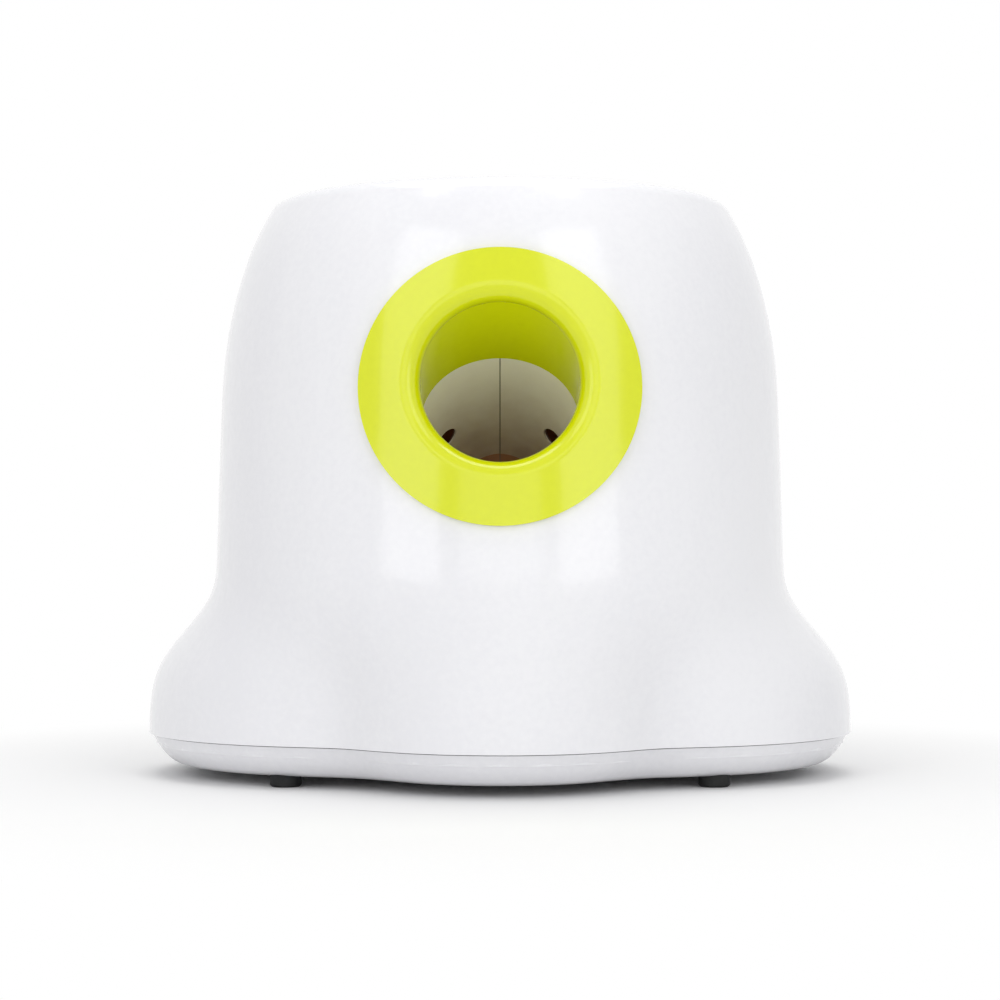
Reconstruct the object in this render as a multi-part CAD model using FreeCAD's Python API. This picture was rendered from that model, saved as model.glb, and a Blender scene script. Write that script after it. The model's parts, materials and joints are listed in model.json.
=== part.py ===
import FreeCAD, Part
import math
import os

os.makedirs("parts", exist_ok=True)
V = FreeCAD.Vector

# The launcher stands on the floor at z = 0. X is to the right, Y to the back, Z up, in millimetres.
# The ball leaves towards -Y.

# Body shell
HEIGHT = 226.0
SEAM_Z = 16.6
WAIST_Z = 84.0
WAIST_R = 112.5
SHOULDER = (110.4, HEIGHT - 76.0)
CROWN = (100.8, HEIGHT - 24.0)
TOP_R = 89.0
TOP_ROUND = 8.0
WALL = 2.5
TOP_PLATE = 6.0
FLARE_TOP = 77.0
FLARE_DEPTH = 42.0
FRONT_LOBE = (0.0, -44.0, 66.5)
REAR_LOBE = (0.0, 48.0, 64.0)
SIDE_LOBE = (53.0, 10.0, 88.0)
LOBE_BLEND = 2.5
AROUND = 40
BASE_LEVELS = (SEAM_Z, 32.0, 45.0, 57.0, 68.0, FLARE_TOP, WAIST_Z)
TRUNK_STEPS = (0.21, 0.48, 0.76, 1.0)
SHOULDER_STEPS = (0.27, 0.54, 0.79, 1.0)
CROWN_STEPS = (0.37, 0.71, 1.0)

# Clearances: GAP round fixed pieces, SEAM_GAP at the seam line, RUN round what turns or slides,
# SLIP round a screw's shank, EASE round what is dropped in
GAP = 0.3
SEAM_GAP = 0.4
RUN = 0.05
SLIP = 0.2
EASE = 0.1

# Screws: shank in a pilot hole, pan head
PILOT_R = 1.3
SCREW_R = 1.5
HEAD_R = 3.0
HEAD_H = 2.2

# Tray under the body
FOOT_SHOW = 4.0
FLOOR = 2.8
TRAY_TOP = SEAM_Z - SEAM_GAP
FLOOR_Z = FOOT_SHOW + FLOOR
FOOT_R = 6.0
FOOT_SINK = 1.0
FEET = ((81.0, -54.0), (78.0, 62.0))
POSTS = ((110.0, -21.0), (106.0, 38.0))
POST_R = 4.5

# Barrel: its axis falls from the mouth towards the back
TILT = 33.0
MOUTH = V(0, -83.0, 136.6)
BORE_R = 29.0
TUBE_R = BORE_R + 2.0
FACE_A = 141.0
TUBE_END = FACE_A + 9.0
CRADLE_END = FACE_A + 31.0
CRADLE_TOP = 8.0
CHUTE_Y = 15.0
CHUTE_R = 30.0
CHUTE_WALL = 2.0
CHUTE_TOP = 165.0
LUG_R = 4.5
LUG_REACH = 8.0
LUG_H = TUBE_R + 4.4
BARREL_LUGS = ((20.0, LUG_H), (20.0, -LUG_H), (100.0, -LUG_H))
CHUTE_LUG = (-20.6, 150.0)
LEG_Y = -16.0
LEG_HALF = (3.0, 12.0)
IR_DEPTH = 40.0
IR_R = 4.7
IR_PROUD = 1.6
IR_FLANGE = 1.3
SENSOR_BOARD_R = TUBE_R + 4.5
SENSOR_BOARD = (11.0, 18.0)
SENSOR_POSTS = (-7.6, 7.6)

# Launch ring: an upright oval flange on the trunk, whose bore runs level through the lip and then
# goes over into the slanted barrel
RING_HALF = (51.2, 50.0)
RING_Z = 148.2
RING_PROUD = 2.0
RING_BORE = 28.8
RING_WALL = 2.2
RING_ROUND = 6.0
BORE_Z = 149.9
LIP_Y = -100.5
COLLAR_R = 37.2
COLLAR_BACK = -100.0

# Striker and its drive
STROKE = 26.0
DISC = 6.0
PAD = 2.0
SLEEVE_R = 6.0
SLEEVE_END = FACE_A + 32.0
ROD_R = 4.0
ROD_TIP = FACE_A + 27.5
SEAT_A = FACE_A + 59.0
BRACKET_BACK = 97.0
SPRING_R = 12.0
SPRING_WIRE = 2.4
RACK_W = 8.0
RACK_FLOOR = 14.5
PITCH_H = 19.0
MODULE = 1.2
WHEEL_TEETH = 30
PINION_TEETH = 10
SECTOR_TEETH = 25
SECTOR_CUT = 8
ADDENDUM = 0.8
DEDENDUM = 1.1
BACKLASH = 0.16
AXLE_R = 1.5
GEAR_A = FACE_A + 37.0
STEP_2 = V(0, -6.8, 23.0)
STEP_1 = V(0, -7.5, 22.8)
STEP_M = V(0, -8.5, 22.5)
PLATE = 2.5
PLATE_LEFT = -18.0
PLATE_RIGHT = 24.5
PLATE_ARM = 9.0
PLATE_FOOT = (70.0, 84.0)
LEG_FRONT = 68.0
LEG_BACK = 91.0
SPACERS = ((66.0, 12.5), (79.0, 143.0))
EARS = (5.5, 11.0)
MOTOR_R = 14.0
MOTOR_LEN = 38.0
MOTOR_FLAT = 11.5
NOSE_R = 5.0
SHAFT_R = 1.0

# Batteries
CELL_R = 13.1
CELL_LEN = 50.0
TUB_X = 53.0
TUB_Y = (-50.0, 10.0)
CELL_ROWS = (TUB_Y[0] + 16.0, TUB_Y[1] - 16.0)
TUB_TOP = 36.2
TUB_WALL = 2.0
DOOR_T = 2.2
DOOR_LIP = 4.0
DOOR_SCREWS = ((0.0, TUB_Y[0] - 1.0), (0.0, TUB_Y[1] + 1.0))
CELL_Z = FOOT_SHOW + DOOR_T + 0.6 + CELL_R
NUB = (3.5, 1.8)
CONTACT = (0.6, 8.0)

# Hopper
RIM_R = 81.8
RIM_T = 3.0
MOUTH_R = 79.0
BOWL_WALL = 2.2

# Controls on the back
PANEL_Z = 130.0
PANEL_HALF = 18.0
PANEL_R = 14.7
PANEL_PROUD = 0.4
PANEL_BACK = 5.0
BUTTON_X = 15.0
BUTTON_R = 6.7
BUTTON_TIP = 112.2
BUTTON_FLANGE = (101.4, 102.8)
SWITCH_FACE = 98.4
SWITCH_H = 3.4
PANEL_POST_X = (-29, 29)
LENS_R = 1.4
LENS_X = (-4.5, 0.0, 4.5)
LENS_Z = 139.0

# Main board and power inlet
BOARD = 1.6
BOARD_Z = 18.0
BOARD_X = (-100.0, -58.0)
BOARD_Y = (-18.0, 32.0)
BOARD_POSTS = ((-96.0, -14.0), (-62.0, -14.0), (-96.0, 28.0), (-62.0, 28.0))
INLET_R = 5.2
INLET_ANGLE = math.radians(180 - 22)
INLET_Z = 34.0


def save(name, shape):
    shape.exportStep("parts/%s.step" % name)


def box(x0, x1, y0, y1, z0, z1):
    return Part.makeBox(x1 - x0, y1 - y0, z1 - z0, V(x0, y0, z0))


def rod(radius, start, end):
    return Part.makeCylinder(radius, (end - start).Length, start, end - start)


def disc_x(radius, x0, x1, centre):
    return rod(radius, V(x0, centre.y, centre.z), V(x1, centre.y, centre.z))


def prism_x(points, x0, x1):
    wire = Part.makePolygon([V(x0, y, z) for y, z in points + points[:1]])
    return Part.Face(wire).extrude(V(x1 - x0, 0, 0))


def fused(shapes):
    whole = shapes[0].multiFuse(shapes[1:])
    return whole.removeSplitter()


def along_barrel(shape):
    """Places a shape drawn with Y along the barrel and Z square to it."""
    shape.rotate(V(0, 0, 0), V(1, 0, 0), -TILT)
    shape.translate(MOUTH)
    return shape


def barrel_point(a, h, x=0.0):
    c = math.cos(math.radians(TILT))
    s = math.sin(math.radians(TILT))
    return MOUTH + V(x, a * c + h * s, -a * s + h * c)


# Body skin

def lobe_reach(ux, uy, lobe):
    cx, cy, radius = lobe
    along = cx * ux + cy * uy
    square = radius**2 - (cx**2 + cy**2 - along**2)
    return along + math.sqrt(square) if square > 0 else 0.0


def plan_reach(angle):
    """Distance of the base outline from the axis, at an angle counted from the front."""
    ux = math.sin(angle)
    uy = -math.cos(angle)
    x, y, radius = SIDE_LOBE
    lobes = (FRONT_LOBE, REAR_LOBE, (x, y, radius), (-x, y, radius))
    reach = [lobe_reach(ux, uy, lobe) for lobe in lobes]
    longest = max(reach)
    return longest + LOBE_BLEND * math.log(sum(math.exp((r - longest) / LOBE_BLEND) for r in reach))


def flare(z):
    """How far the outline at height z has gone from the round trunk to the lobed base."""
    t = min(1.0, max(0.0, (FLARE_TOP - z) / FLARE_DEPTH))
    return t * t * (3 - 2 * t)


def trunk_radius(z):
    """Radius of the round trunk; below the waist it goes on at the same lean."""
    if z > WAIST_Z:
        cut = trunk_solid().slice(V(0, 0, 1), min(z, HEIGHT - 0.001))
        return cut[0].BoundBox.XMax
    lean = (WAIST_R - SHOULDER[0]) / (SHOULDER[1] - WAIST_Z)
    return WAIST_R + lean * (WAIST_Z - z)


def outline(z, inset):
    """One level of the body: points around it, moved inwards by the inset."""
    trunk = trunk_radius(z)
    share = flare(z)
    flat = []
    for i in range(AROUND):
        angle = 2 * math.pi * i / AROUND
        reach = (1 - share) * trunk + share * plan_reach(angle)
        flat.append((reach * math.sin(angle), -reach * math.cos(angle)))
    return inward(flat, z, inset)


def inward(flat, z, inset):
    points = []
    for i, (x, y) in enumerate(flat):
        before = flat[i - 1]
        after = flat[(i + 1) % len(flat)]
        run = V(after[0] - before[0], after[1] - before[1], 0).normalize()
        points.append(V(x - run.y * inset, y + run.x * inset, z))
    return points


def smooth_solid(rows):
    """A closed solid whose side runs smoothly through the levels, from the lowest to the highest."""
    swell = 3 / (2 + math.cos(2 * math.pi / AROUND))
    poles = [[V(p.x * swell, p.y * swell, p.z) for p in column] for column in zip(*rows)]
    levels = len(rows)
    surface = Part.BSplineSurface()
    surface.buildFromPolesMultsKnots(
        poles,
        [1] * (AROUND + 1),
        [4] + [1] * (levels - 4) + [4],
        list(range(AROUND + 1)),
        list(range(levels - 2)),
        True,
        False,
        3,
        3,
    )
    side = Part.Face(surface)
    rims = [edge for edge in side.Edges if edge.BoundBox.ZLength < 0.001]
    rims.sort(key=lambda edge: edge.BoundBox.ZMin)
    foot, top = [Part.Face(Part.Wire([edge])) for edge in rims]
    foot.reverse()
    if top.normalAt(0, 0).z < 0:
        top.reverse()
    if foot.normalAt(0, 0).z > 0:
        foot.reverse()
    return Part.Solid(Part.makeShell([side, foot, top]))


def flat_sided(rows):
    """A solid of flat strips through the levels, for hidden inner faces."""
    wires = [Part.makePolygon(row + row[:1]) for row in rows]
    return Part.makeLoft(wires, True, True)


def tangent_arc(start, heading, end):
    """An arc that leaves the start along the heading and ends at the end."""
    chord = end - start
    length = chord.Length
    chord.normalize()
    turn = heading.getAngle(chord)
    side = heading - chord * heading.dot(chord)
    side.normalize()
    middle = (start + end) * 0.5 + side * (length / 2 * math.tan(turn / 2))
    arc = Part.Arc(start, middle, end)
    leave = chord * (2 * chord.dot(heading)) - heading
    return arc.toShape(), leave


def trunk_solid(grow=0.0, foot=WAIST_Z):
    """The round upper body, larger all round by grow."""
    waist = V(WAIST_R + grow, 0, WAIST_Z)
    shoulder = V(SHOULDER[0] + grow, 0, SHOULDER[1])
    crown = V(CROWN[0] + grow, 0, CROWN[1])
    top = V(TOP_R + grow, 0, HEIGHT)
    heading = (shoulder - waist).normalize()
    start = waist + heading * ((foot - WAIST_Z) / heading.z)
    lower, heading = tangent_arc(shoulder, heading, crown)
    upper, heading = tangent_arc(crown, heading, top)
    edges = [
        Part.makeLine(start, shoulder),
        lower,
        upper,
        Part.makeLine(top, V(0, 0, HEIGHT)),
        Part.makeLine(V(0, 0, HEIGHT), V(0, 0, foot)),
        Part.makeLine(V(0, 0, foot), start),
    ]
    return Part.Face(Part.Wire(edges)).revolve(V(0, 0, 0), V(0, 0, 1), 360)


def trunk_levels():
    """Heights of the outlines above the waist, closer together towards the top."""
    levels = []
    stretches = ((WAIST_Z, SHOULDER[1], TRUNK_STEPS), (SHOULDER[1], CROWN[1], SHOULDER_STEPS), (CROWN[1], HEIGHT, CROWN_STEPS))
    for low, high, steps in stretches:
        levels += [low + (high - low) * step for step in steps]
    return levels


def body_solid():
    body = smooth_solid([outline(z, 0) for z in list(BASE_LEVELS) + trunk_levels()])
    rim = [edge for edge in body.Edges if edge.BoundBox.ZMin > HEIGHT - 0.01]
    return body.makeFillet(TOP_ROUND, rim)


def smoothed(rows):
    """The levels as the smooth side passes them, and not its control points."""
    count = len(rows)
    out = []
    for j in range(count):
        low = rows[max(0, j - 1)]
        high = rows[min(count - 1, j + 1)]
        weight = 0.0 if j in (0, count - 1) else 1 / 6
        out.append([p * (1 - 2 * weight) + (a + b) * weight for p, a, b in zip(rows[j], low, high)])
    return out


def body_hollow():
    """The inside of the body: straight bands in the trunk, flat strips in the base."""
    ceiling = HEIGHT - TOP_PLATE
    foot = WAIST_Z - 8
    heights = (foot, SHOULDER[1], (SHOULDER[1] + CROWN[1]) / 2, CROWN[1], ceiling)
    skin = trunk_solid(-WALL, foot)
    radii = [skin.slice(V(0, 0, 1), z + 0.001)[0].BoundBox.XMax for z in heights]
    bands = []
    for i in range(len(heights) - 1):
        bands.append(Part.makeCone(radii[i], radii[i + 1], heights[i + 1] - heights[i], V(0, 0, heights[i])))
    rows = smoothed([outline(z, WALL) for z in BASE_LEVELS[:5]] + [outline(foot + 3, WALL + 1.2)])
    below = [V(p.x, p.y, SEAM_Z - 2) for p in rows[0]]
    above = outline(WAIST_Z + 4, WALL + 4)
    return bands, flat_sided([below] + rows + [above])


def stadium_y(half, radius, z, y0, y1):
    """A bar with round ends, lying along X and cut through along Y."""
    left = Part.makeCylinder(radius, y1 - y0, V(-half, y0, z), V(0, 1, 0))
    right = Part.makeCylinder(radius, y1 - y0, V(half, y0, z), V(0, 1, 0))
    return fused([left, right, box(-half, half, y0, y1, z - radius, z + radius)])


def inlet_frame():
    """Where the power inlet sits on the skin, and the way it faces."""
    reach = plan_reach(INLET_ANGLE)
    point = V(-reach * math.sin(INLET_ANGLE), -reach * math.cos(INLET_ANGLE), INLET_Z)
    centre = V(REAR_LOBE[0], REAR_LOBE[1], INLET_Z)
    return point, (point - centre).normalize()


def upper_housing():
    body = body_solid()
    bands, base = body_hollow()
    shell = body
    for band in bands + [base]:
        shell = shell.cut(band)
    posts = []
    for x, y in POSTS:
        for side in (-1, 1):
            posts.append(Part.makeCylinder(POST_R, FLARE_TOP + 5 - SEAM_Z, V(side * x, y, SEAM_Z)))
    shell = shell.fuse([post.common(body) for post in posts])
    cuts = [
        Part.makeCylinder(MOUTH_R, 20, V(0, 0, HEIGHT - 15)),
        Part.makeCylinder(RIM_R + GAP, RIM_T + 1, V(0, 0, HEIGHT - RIM_T)),
        level_rod(COLLAR_R + GAP + EASE, -WAIST_R - 20, MOUTH.y),
        stadium_y(PANEL_HALF, PANEL_R + GAP, PANEL_Z, 90, 120),
    ]
    for x, y in POSTS:
        for side in (-1, 1):
            cuts.append(Part.makeCylinder(PILOT_R, 22, V(side * x, y, SEAM_Z - 1)))
    point, facing = inlet_frame()
    cuts.append(rod(INLET_R + GAP, point - facing * 12, point + facing * 4))
    return shell.cut(cuts)


def lower_housing():
    insets = ((FOOT_SHOW, 19.0), (FOOT_SHOW, 12.0), (7.0, 7.0), (12.0, 3.5), (TRAY_TOP, 1.5))
    tray = smooth_solid([outline_at_seam(z, inset) for z, inset in insets])
    hollow = flat_sided([outline_at_seam(FLOOR_Z, 11.5), outline_at_seam(TRAY_TOP + 1, 4.6)])
    tray = tray.cut(hollow)
    rim_out = flat_sided([outline_at_seam(FLOOR_Z + 4, WALL + 0.8), outline_at_seam(TRAY_TOP + 4, WALL + 0.8)])
    rim_in = flat_sided([outline_at_seam(FLOOR_Z + 3, WALL + 2.6), outline_at_seam(TRAY_TOP + 5, WALL + 2.6)])
    lip = rim_out.cut(rim_in).common(box(-200, 200, -200, 200, TRAY_TOP - 4, TRAY_TOP + 4))
    y0, y1 = TUB_Y
    wide = TUB_X + TUB_WALL
    tub = box(-wide, wide, y0 - TUB_WALL, y1 + TUB_WALL, FOOT_SHOW + 0.5, TUB_TOP)
    adds = [lip, tub]
    for x, y in POSTS:
        for side in (-1, 1):
            adds.append(Part.makeCylinder(POST_R, SEAM_Z - GAP - FLOOR_Z + 1, V(side * x, y, FLOOR_Z - 1)))
    for x, y in BOARD_POSTS:
        adds.append(Part.makeCylinder(3.0, BOARD_Z - FLOOR_Z + 1, V(x, y, FLOOR_Z - 1)))
    tray = tray.fuse(adds)
    cuts = [box(-TUB_X, TUB_X, y0, y1, FOOT_SHOW - 1, TUB_TOP - TUB_WALL)]
    lip = TUB_X + DOOR_LIP
    cuts.append(box(-lip, lip, y0 - DOOR_LIP, y1 + DOOR_LIP, FOOT_SHOW - 1, FOOT_SHOW + DOOR_T + GAP))
    for x, y in POSTS:
        for side in (-1, 1):
            cuts.append(Part.makeCylinder(SCREW_R + 0.3, 20, V(side * x, y, FOOT_SHOW - 1)))
            cuts.append(Part.makeCylinder(HEAD_R + 0.4, 1 + HEAD_H + 1, V(side * x, y, FOOT_SHOW - 1)))
    for x, y in BOARD_POSTS:
        cuts.append(Part.makeCylinder(PILOT_R, 8, V(x, y, BOARD_Z - 7)))
    for x, y in FEET:
        for side in (-1, 1):
            cuts.append(Part.makeCylinder(FOOT_R + SLIP, FOOT_SINK + 1, V(side * x, y, FOOT_SHOW - 1)))
    return tray.cut(cuts)


def outline_at_seam(z, inset):
    return [V(p.x, p.y, z) for p in outline(SEAM_Z, inset)]


# Hopper

def bowl_shape(grow, top):
    """The funnel, larger all round by grow: wide and shallow above, steep below, off centre at the throat."""
    wide = Part.Wire([Part.makeCircle(75.8 + grow, V(0, 0, top))])
    lip = Part.Wire([Part.makeCircle(75.8 + grow, V(0, 0, HEIGHT - RIM_T - 4))])
    knee = Part.Wire([Part.makeCircle(66.0 + grow, V(0, 3, 205 - grow))])
    throat = Part.Wire([Part.makeCircle(CHUTE_R + grow, V(0, CHUTE_Y, 178 - grow))])
    outlet = Part.Wire([Part.makeCircle(CHUTE_R + grow, V(0, CHUTE_Y, CHUTE_TOP - (0 if grow else 1)))])
    bands = []
    chain = [wide, lip, knee, throat, outlet]
    for upper, lower in zip(chain, chain[1:]):
        bands.append(Part.makeLoft([upper, lower], True, True))
    return bands


def hopper_bowl():
    outer = fused(bowl_shape(BOWL_WALL, HEIGHT - RIM_T))
    rim = Part.makeCylinder(RIM_R, RIM_T, V(0, 0, HEIGHT - RIM_T))
    bowl = outer.fuse(rim)
    hooks = []
    for turn in (45, 135, 225, 315):
        hook = box(76, MOUTH_R + 1.2, -6, 6, HEIGHT - TOP_PLATE - 2.5, HEIGHT - TOP_PLATE - GAP)
        hook.rotate(V(0, 0, 0), V(0, 0, 1), turn)
        hooks.append(hook)
    bowl = bowl.fuse(hooks)
    for band in bowl_shape(0.0, HEIGHT + 1):
        bowl = bowl.cut(band)
    return bowl


# Launch ring

def leaning_circle(radius, centre, lean):
    """A circle that faces the front, leant back by the angle in degrees."""
    circle = Part.makeCircle(radius, V(0, 0, 0), V(0, 1, 0))
    circle.rotate(V(0, 0, 0), V(1, 0, 0), -lean)
    circle.translate(centre)
    return Part.Wire([circle])


def level_rod(radius, y0, y1):
    """A round bar on the bore's level line, with its seam turned up, clear of the shoulder's edge."""
    bar = rod(radius, V(0, y0, BORE_Z), V(0, y1, BORE_Z))
    bar.rotate(V(0, 0, BORE_Z), V(0, 1, 0), 45)
    return bar


def ring_passage(grow, front):
    """The ring's bore, larger all round by grow: level from the front to the lip, then down into the barrel."""
    lip = V(0, LIP_Y, BORE_Z)
    level = level_rod(RING_BORE + grow, front, LIP_Y)
    start = leaning_circle(RING_BORE + grow, lip, 0)
    end = leaning_circle(BORE_R - EASE + grow, MOUTH, TILT)
    return level, Part.makeLoft([start, end], True, True)


def launch_ring():
    front = -WAIST_R - 15
    skin = trunk_solid(RING_PROUD)
    centre = V(0, front, RING_Z)
    oval = Part.Ellipse(centre + V(RING_HALF[0], 0, 0), centre + V(0, 0, RING_HALF[1]), centre)
    flange = Part.Face(Part.Wire([oval.toShape()])).extrude(V(0, -MOUTH.y, 0))
    flange = flange.common(skin).cut(trunk_solid(GAP))
    collar = level_rod(COLLAR_R, front, COLLAR_BACK).common(trunk_solid(RING_PROUD - 0.5))
    level, slope = ring_passage(RING_WALL, front)
    solid = flange.fuse([collar, level.common(trunk_solid(RING_PROUD - 0.5)), slope])
    for hollow in ring_passage(0.0, front - 5):
        solid = solid.cut(hollow)
    lip = []
    for edge in solid.Edges:
        middle = edge.valueAt((edge.FirstParameter + edge.LastParameter) / 2)
        radial = math.hypot(middle.x, middle.z - BORE_Z)
        outside = math.hypot(middle.x, middle.y)
        on_skin = abs(outside - skin_at(middle.z, RING_PROUD)) < 0.2
        if abs(radial - RING_BORE) < 0.05 and on_skin and middle.y < 0:
            lip.append(edge)
    return solid.makeFillet(RING_ROUND, lip)


def skin_at(z, grow):
    cut = trunk_solid(grow).slice(V(0, 0, 1), z)
    return cut[0].BoundBox.XMax


# Barrel

def sensor_direction(side):
    """Radial direction of a sensor window, drawn with Y along the barrel."""
    slant = math.sqrt(0.5)
    return V(side * slant, 0, slant)


def barrel_half(side):
    tube = rod(TUBE_R, V(0, 0, 0), V(0, TUBE_END, 0))
    cradle = rod(TUBE_R, V(0, TUBE_END, 0), V(0, CRADLE_END, 0))
    cradle = cradle.common(box(-40, 40, TUBE_END, CRADLE_END, -40, CRADLE_TOP))
    lugs = []
    for a, h in BARREL_LUGS:
        lugs.append(rod(LUG_R, V(-LUG_REACH, a, h), V(LUG_REACH, a, h)))
    posts = []
    out = sensor_direction(side)
    for shift in SENSOR_POSTS:
        base = V(0, IR_DEPTH + shift, 0)
        posts.append(rod(1.2, base + out * (TUBE_R - 0.6), base + out * SENSOR_BOARD_R))
    solid = along_barrel(tube.fuse([cradle] + lugs + posts))
    chute = Part.makeCylinder(CHUTE_R + CHUTE_WALL, CHUTE_TOP - 75, V(0, CHUTE_Y, 75))
    chute = chute.fuse(rod(LUG_R, V(-LUG_REACH, *CHUTE_LUG), V(LUG_REACH, *CHUTE_LUG)))
    thick, half = LEG_HALF
    leg = box(-thick, thick, LEG_Y - half, LEG_Y + half, TUB_TOP, barrel_point(100, -TUBE_R + 1).z + 5)
    solid = solid.fuse([chute, leg])
    bore = along_barrel(rod(BORE_R, V(0, -1, 0), V(0, CRADLE_END + 1, 0)))
    drop = Part.makeCylinder(CHUTE_R, CHUTE_TOP, V(0, CHUTE_Y, 73))
    window = along_barrel(rod(IR_R + EASE, V(0, IR_DEPTH, 0), V(0, IR_DEPTH, 0) + out * 40))
    holes = [along_barrel(rod(PILOT_R, V(-20, a, h), V(20, a, h))) for a, h in BARREL_LUGS]
    holes.append(rod(PILOT_R, V(-20, *CHUTE_LUG), V(20, *CHUTE_LUG)))
    solid = solid.cut([bore, drop, window] + holes)
    return solid.common(box(0, 60, -140, 140, 0, 240) if side > 0 else box(-60, 0, -140, 140, 0, 240))


def ir_window(side):
    out = sensor_direction(side)
    base = V(0, IR_DEPTH, 0)
    pane = rod(IR_R, base + out * (BORE_R + 0.4), base + out * (TUBE_R + IR_PROUD))
    flange = rod(IR_R + IR_FLANGE, base + out * (TUBE_R + 0.5), base + out * (TUBE_R + IR_PROUD))
    return along_barrel(pane.fuse(flange))


def sensor_board(side):
    wide, deep = SENSOR_BOARD
    board = Part.makeBox(wide, deep, BOARD, V(-wide / 2, -deep / 2, SENSOR_BOARD_R))
    foot = TUBE_R + IR_PROUD + SLIP
    eye = Part.makeCylinder(2.5, SENSOR_BOARD_R - foot, V(0, 0, foot))
    both = board.fuse(eye)
    both.rotate(V(0, 0, 0), V(0, 1, 0), side * 45)
    both.translate(V(0, IR_DEPTH, 0))
    return along_barrel(both)


# Striker

def striker():
    radius = BORE_R - 0.5
    back = FACE_A + DISC
    disc = rod(radius, V(0, FACE_A, 0), V(0, back, 0))
    notch = box(-14, 14, FACE_A - 1, back + 1, RACK_FLOOR, radius + 1)
    rim = rod(radius - 2.5, V(0, back - 3.5, 0), V(0, back + 1, 0))
    boss = rod(SLEEVE_R + 2, V(0, FACE_A, 0), V(0, back + 1, 0))
    disc = disc.cut(rim.cut(boss)).cut(notch)
    sleeve = rod(SLEEVE_R, V(0, FACE_A, 0), V(0, SLEEVE_END, 0))
    pitch = math.pi * MODULE
    first = GEAR_A + 0.75 * pitch
    last = first - SECTOR_CUT * pitch
    root = PITCH_H - DEDENDUM * MODULE
    tip = PITCH_H + ADDENDUM * MODULE
    slope = math.tan(math.radians(20))
    outline_points = [(back - 3, RACK_FLOOR - 1.6), (first, RACK_FLOOR - 0.6), (first, root)]
    half = pitch / 4 - BACKLASH / 2
    for k in range(SECTOR_CUT):
        middle = GEAR_A + pitch / 2 - k * pitch
        wide = half + (PITCH_H - root) * slope
        thin = half - (tip - PITCH_H) * slope
        outline_points += [(middle + wide, root), (middle + thin, tip), (middle - thin, tip), (middle - wide, root)]
    outline_points += [(last, root), (back - 3, root)]
    rack = prism_x(outline_points, -RACK_W / 2, RACK_W / 2)
    solid = disc.fuse([sleeve, rack])
    hole = rod(ROD_R + RUN, V(0, FACE_A + 1.5, 0), V(0, SLEEVE_END + 1, 0))
    return along_barrel(solid.cut(hole).removeSplitter())


def striker_pad():
    pad = rod(BORE_R - 4, V(0, FACE_A - PAD, 0), V(0, FACE_A, 0))
    notch = box(-14, 14, FACE_A - PAD - 1, FACE_A + 1, RACK_FLOOR, BORE_R)
    return along_barrel(pad.cut(notch))


def launch_spring():
    start = FACE_A + DISC + 0.2
    end = SEAT_A - 0.2
    coil = rod(SPRING_R, V(0, start, 0), V(0, end, 0))
    core = rod(SPRING_R - SPRING_WIRE, V(0, start - 1, 0), V(0, end + 1, 0))
    return along_barrel(coil.cut(core))


def guide_rod():
    return along_barrel(rod(ROD_R, V(0, ROD_TIP, 0), V(0, SEAT_A + 6, 0)))


def spring_bracket():
    high = barrel_point(SEAT_A, SPRING_R)
    low = barrel_point(SEAT_A, -SPRING_R - 1)
    back = barrel_point(SEAT_A + 5, SPRING_R)
    side = [(high.y, high.z), (low.y, low.z), (low.y - 4, FLOOR_Z + 3), (low.y - 4, FLOOR_Z)]
    side += [(BRACKET_BACK, FLOOR_Z), (BRACKET_BACK, back.z - 4), (back.y, back.z)]
    block = prism_x(side, -14, 14)
    pockets = []
    for x in (-11.5, 5.5):
        inner = [(low.y + 5, FLOOR_Z + 3), (BRACKET_BACK + 1, FLOOR_Z + 3)]
        inner += [(BRACKET_BACK + 1, back.z - 16), (low.y + 8, low.z - 3)]
        pockets.append(prism_x(inner, x, x + 6))
    hole = along_barrel(rod(ROD_R, V(0, SEAT_A - 1, 0), V(0, SEAT_A + 6, 0)))
    return block.cut(pockets + [hole])


# Gears

def gear_centres():
    output = barrel_point(GEAR_A, PITCH_H + MODULE * SECTOR_TEETH / 2)
    second = output + STEP_2.normalize() * wheel_span()
    first = second + STEP_1.normalize() * wheel_span()
    motor = first + STEP_M.normalize() * wheel_span()
    return output, second, first, motor


def wheel_span():
    return MODULE * (WHEEL_TEETH + PINION_TEETH) / 2


def bearing_of(a, b):
    """Angle from one gear centre to another, counted from Y towards Z."""
    return math.atan2(b.z - a.z, b.y - a.y)


def spread(radius, base):
    return math.tan(math.acos(base / radius)) - math.acos(base / radius)


def gear(teeth, x0, x1, centre, lead, only=None):
    """A spur gear with a tooth at the lead angle; only keeps the first few teeth, going backwards."""
    pitch = MODULE * teeth / 2
    base = pitch * math.cos(math.radians(20))
    root = pitch - DEDENDUM * MODULE
    tip = pitch + ADDENDUM * MODULE
    start = max(root, base)
    half = math.pi / 2 / teeth - BACKLASH / 2 / pitch + spread(pitch, base)
    at_tip = half - spread(tip, base)
    at_start = half - spread(start, base)
    points = []
    count = only or teeth
    for k in range(count):
        middle = lead - (count - 1 - k) * 2 * math.pi / teeth
        flank = [(root, -at_start), (tip, -at_tip), (tip, at_tip), (root, at_start)]
        if start > root + 0.1:
            flank = [flank[0], (start, -at_start), flank[1], flank[2], (start, at_start), flank[3]]
        for radius, swing in flank:
            points.append((radius, middle + swing))
    if only:
        gap = 2 * math.pi - (count - 1) * 2 * math.pi / teeth - 2 * at_start
        begin = points[-1][1]
        steps = 12
        for k in range(1, steps):
            points.append((root, begin + gap * k / steps))
    ring = [(centre.y + r * math.cos(t), centre.z + r * math.sin(t)) for r, t in points]
    return prism_x(ring, x0, x1)


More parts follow.
